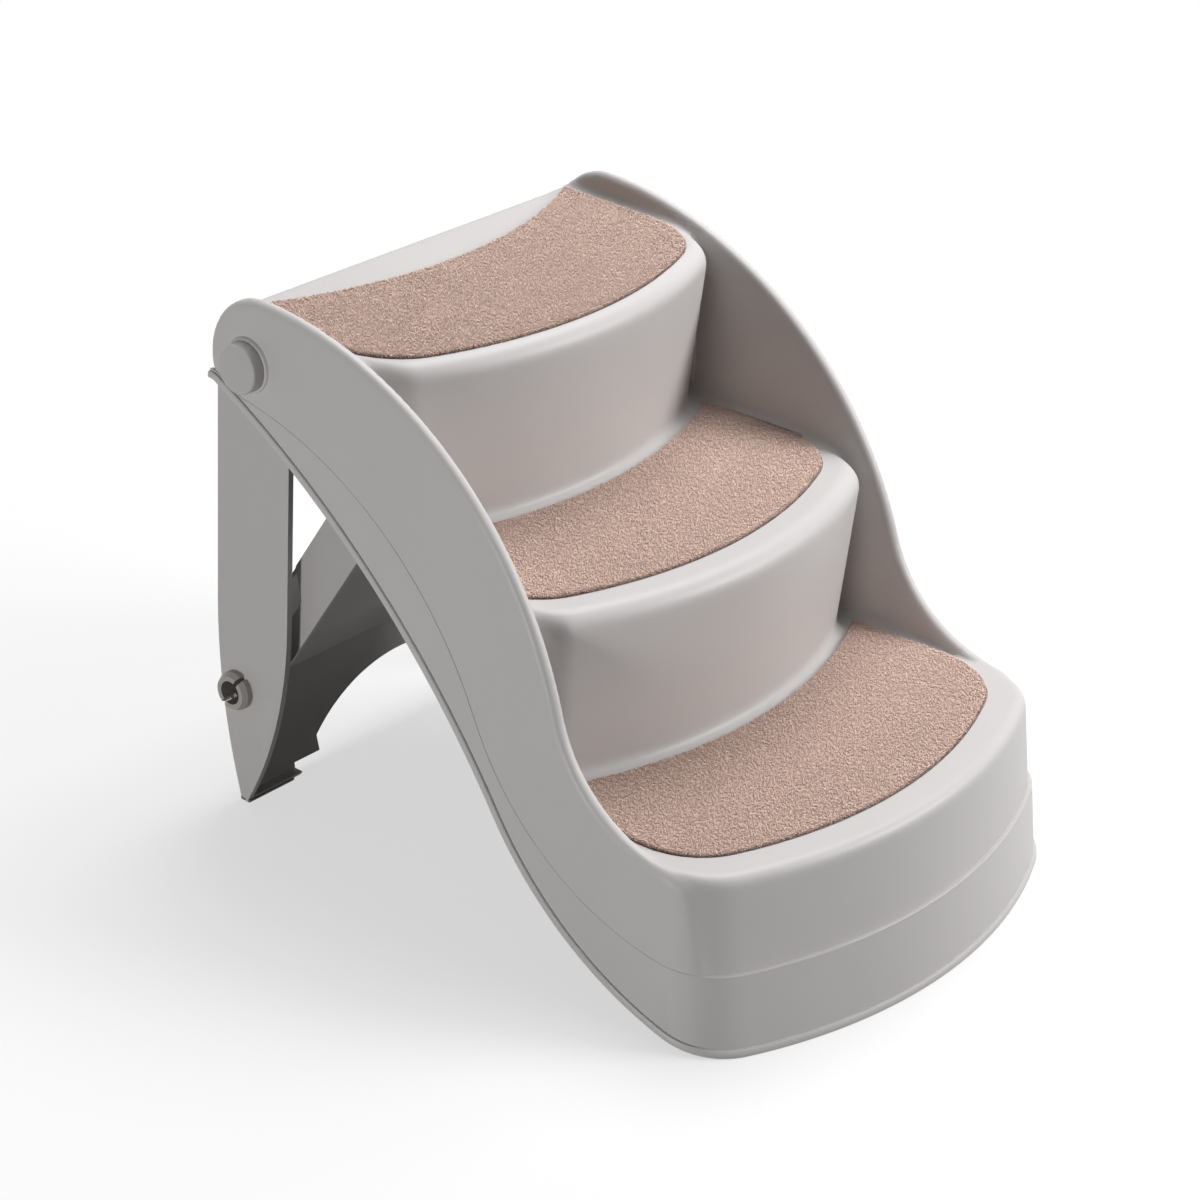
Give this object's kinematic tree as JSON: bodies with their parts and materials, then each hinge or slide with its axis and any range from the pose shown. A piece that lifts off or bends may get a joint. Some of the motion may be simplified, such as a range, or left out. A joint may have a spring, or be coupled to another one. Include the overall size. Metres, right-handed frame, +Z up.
{
  "type": "folding pet stairs",
  "caption": "Folding plastic pet stairs with carpeted steps between curved cheeks, a hinged rear leg frame and a swinging lock brace.",
  "frame": {"origin": "centre of the footprint of the open stairs, on the floor", "axes": "X across the steps, the lowest step faces -Y, the leg stands at +Y, Z up"},
  "size_m": [0.3796, 0.4996, 0.38],
  "materials": {
    "body_plastic": "light warm-grey moulded polypropylene with a fine satin skin",
    "leg_plastic": "the same light warm-grey moulded polypropylene",
    "brace_plastic": "light warm-grey moulded polypropylene",
    "pin_plastic": "light warm-grey moulded nylon with a smooth satin face",
    "bush_plastic": "warm-grey moulded acetal",
    "carpet": "short needle-punched beige carpet pile",
    "hook_and_loop": "dark grey woven hook-and-loop tape",
    "pad_rubber": "dark moulded rubber",
    "foot_rubber": "grey moulded rubber",
    "screw_steel": "zinc-plated steel",
    "washer_plastic": "white acetal"
  },
  "bodies": {
    "stairs": {"stair_body": "body_plastic", "carpet_lower": "carpet", "carpet_middle": "carpet", "carpet_upper": "carpet", "grip_strips_lower": "hook_and_loop", "grip_strips_middle": "hook_and_loop", "grip_strips_upper": "hook_and_loop", "front_grip_pads": "pad_rubber", "hinge_pin_left": "pin_plastic", "hinge_pin_right": "pin_plastic", "hinge_screw_left": "screw_steel", "hinge_screw_right": "screw_steel"},
    "leg": {"rear_leg": "leg_plastic", "foot_pad_left": "foot_rubber", "foot_pad_right": "foot_rubber", "hinge_washer_left": "washer_plastic", "hinge_washer_right": "washer_plastic"},
    "brace": {"lock_brace": "brace_plastic", "snap_bush_left": "bush_plastic", "snap_bush_right": "bush_plastic"}
  },
  "joints": [
    {"name": "leg_fold", "type": "hinge", "parent": "stairs", "child": "leg", "pos_m": [0, 0.215, 0.334], "axis": [-1, 0, 0], "range_deg": [0, 45]},
    {"name": "brace_fold", "type": "hinge", "parent": "leg", "child": "brace", "pos_m": [0, 0.23, 0.086], "axis": [-1, 0, 0], "range_deg": [0, 29]}
  ],
  "couplings": [
    {"joint": "brace_fold", "follows": "leg_fold", "ratio": 0.6444}
  ]
}
